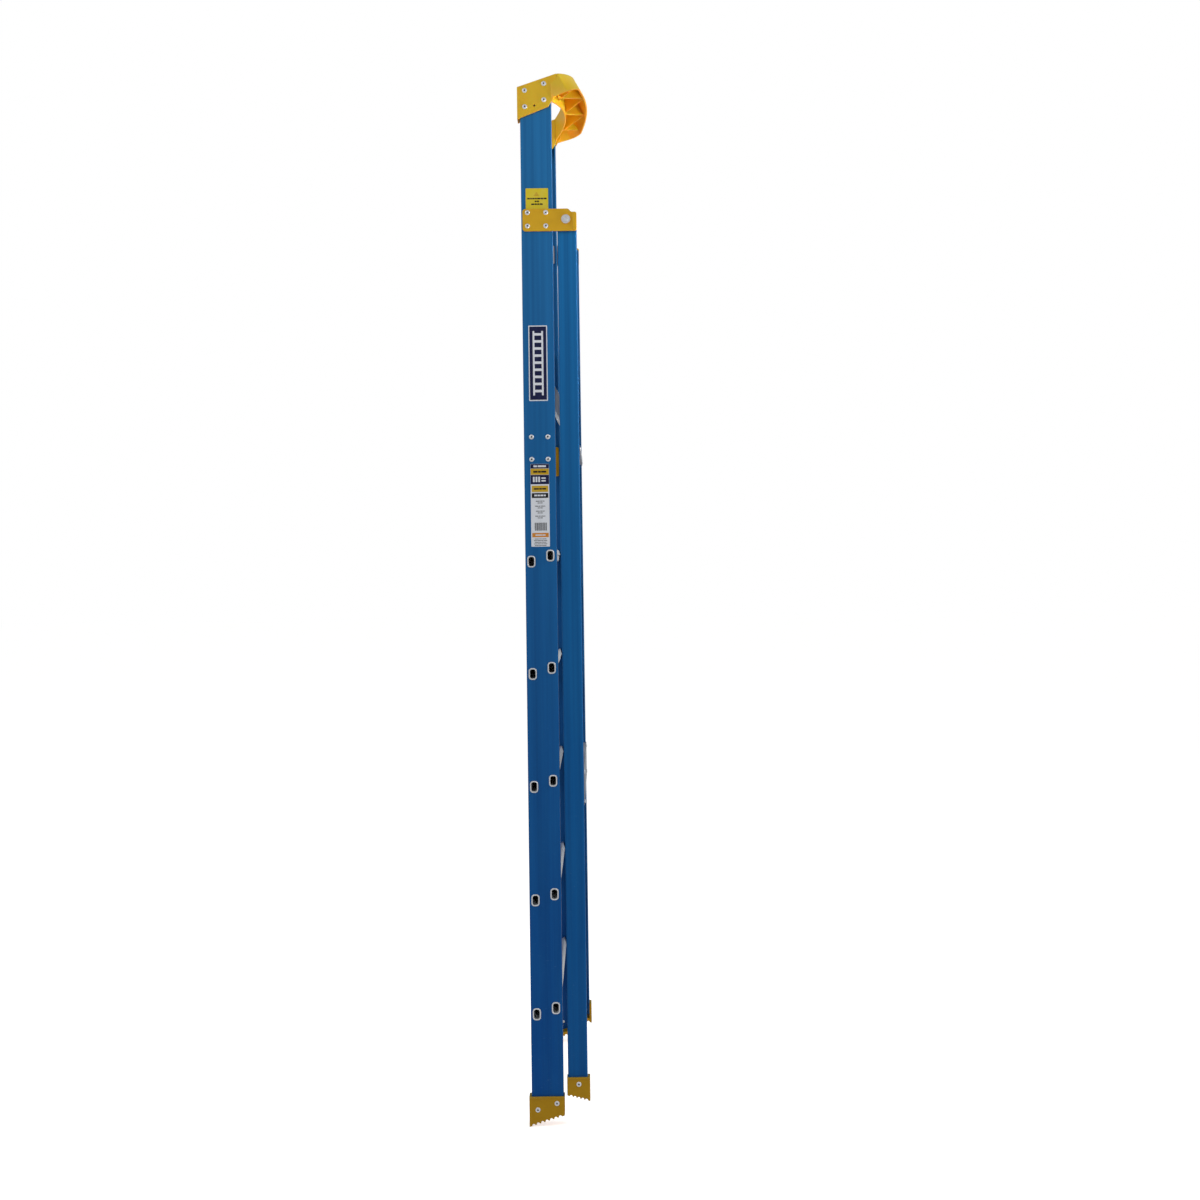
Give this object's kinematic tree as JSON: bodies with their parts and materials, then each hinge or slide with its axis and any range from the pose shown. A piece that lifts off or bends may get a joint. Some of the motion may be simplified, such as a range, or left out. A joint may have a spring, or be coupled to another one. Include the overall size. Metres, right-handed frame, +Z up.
{
  "type": "platform step ladder",
  "caption": "Folded platform step ladder with splayed channel stiles, ribbed treads, a fold-up platform, hinged rear legs and a moulded handrail round the top.",
  "frame": {"origin": "middle of the folded ladder's footprint, on the floor under the tips of the front feet", "axes": "+X from the climbing side to the rear, +Y to the climber's left, +Z up along the folded ladder"},
  "size_m": [0.1966, 0.7336, 2.9578],
  "materials": {
    "fibreglass": "pultruded blue glass fibre, satin, with faint streaks along the length",
    "moulded_yellow": "moulded ochre yellow, satin",
    "painted_yellow": "ochre yellow powder coat",
    "aluminium": "mill finish extrusion",
    "steel": "zinc plated",
    "nosing_rubber": "matt black",
    "label_yellow": "printed film",
    "label_navy": "printed film",
    "label_white": "printed film"
  },
  "bodies": {
    "front_frame": {"front_foot_left": "painted_yellow", "front_foot_right": "painted_yellow", "front_foot_rivets": "steel", "handrail": "moulded_yellow", "handrail_rivets": "steel", "hinge_backing_left": "aluminium", "hinge_backing_right": "aluminium", "hinge_bolt_left": "steel", "hinge_bolt_right": "steel", "hinge_bracket_left": "painted_yellow", "hinge_bracket_right": "painted_yellow", "hinge_nut_left": "steel", "hinge_nut_right": "steel", "hinge_rivets": "steel", "hinge_washers": "steel", "name_label": "label_navy", "notice_label": "label_yellow", "platform_bracket_left": "painted_yellow", "platform_bracket_right": "painted_yellow", "platform_pin_left": "steel", "platform_pin_right": "steel", "platform_rivets": "steel", "rating_label": "label_white", "stile_left": "fibreglass", "stile_right": "fibreglass", "tread_1": "aluminium", "tread_2": "aluminium", "tread_3": "aluminium", "tread_4": "aluminium", "tread_5": "aluminium"},
    "rear_frame": {"hinge_bush_left": "steel", "hinge_bush_right": "steel", "link_post_left": "steel", "link_post_right": "steel", "rear_bar_lower": "aluminium", "rear_bar_rivets": "steel", "rear_bar_upper": "aluminium", "rear_foot_left": "painted_yellow", "rear_foot_right": "painted_yellow", "rear_foot_rivets": "steel", "rear_leg_left": "fibreglass", "rear_leg_right": "fibreglass"},
    "platform": {"link_pin_left": "steel", "link_pin_right": "steel", "platform_deck": "aluminium", "platform_nosing": "nosing_rubber", "platform_side_left": "aluminium", "platform_side_right": "aluminium"},
    "link_right": {"link_right": "aluminium"},
    "link_left": {"link_left": "aluminium"}
  },
  "joints": [
    {"name": "rear_spread", "type": "hinge", "parent": "front_frame", "child": "rear_frame", "pos_m": [0.03485, 0, 2.5248], "axis": [0, -1, 0], "range_deg": [0, 31]},
    {"name": "platform_fold", "type": "hinge", "parent": "front_frame", "child": "platform", "pos_m": [-0.04065, 0, 1.877], "axis": [0, 1, 0], "range_deg": [0, 73.01]},
    {"name": "link_right_turn", "type": "hinge", "parent": "platform", "child": "link_right", "pos_m": [-0.04065, -0.2165, 2.103], "axis": [0, -1, 0], "range_deg": [0, 163.21]},
    {"name": "link_left_turn", "type": "hinge", "parent": "platform", "child": "link_left", "pos_m": [-0.04065, 0.2165, 2.103], "axis": [0, -1, 0], "range_deg": [0, 163.21]}
  ],
  "couplings": [
    {"joint": "platform_fold", "follows": "rear_spread", "ratio": 2.3548},
    {"joint": "link_right_turn", "follows": "rear_spread", "ratio": 5.2634},
    {"joint": "link_left_turn", "follows": "rear_spread", "ratio": 5.2634}
  ]
}
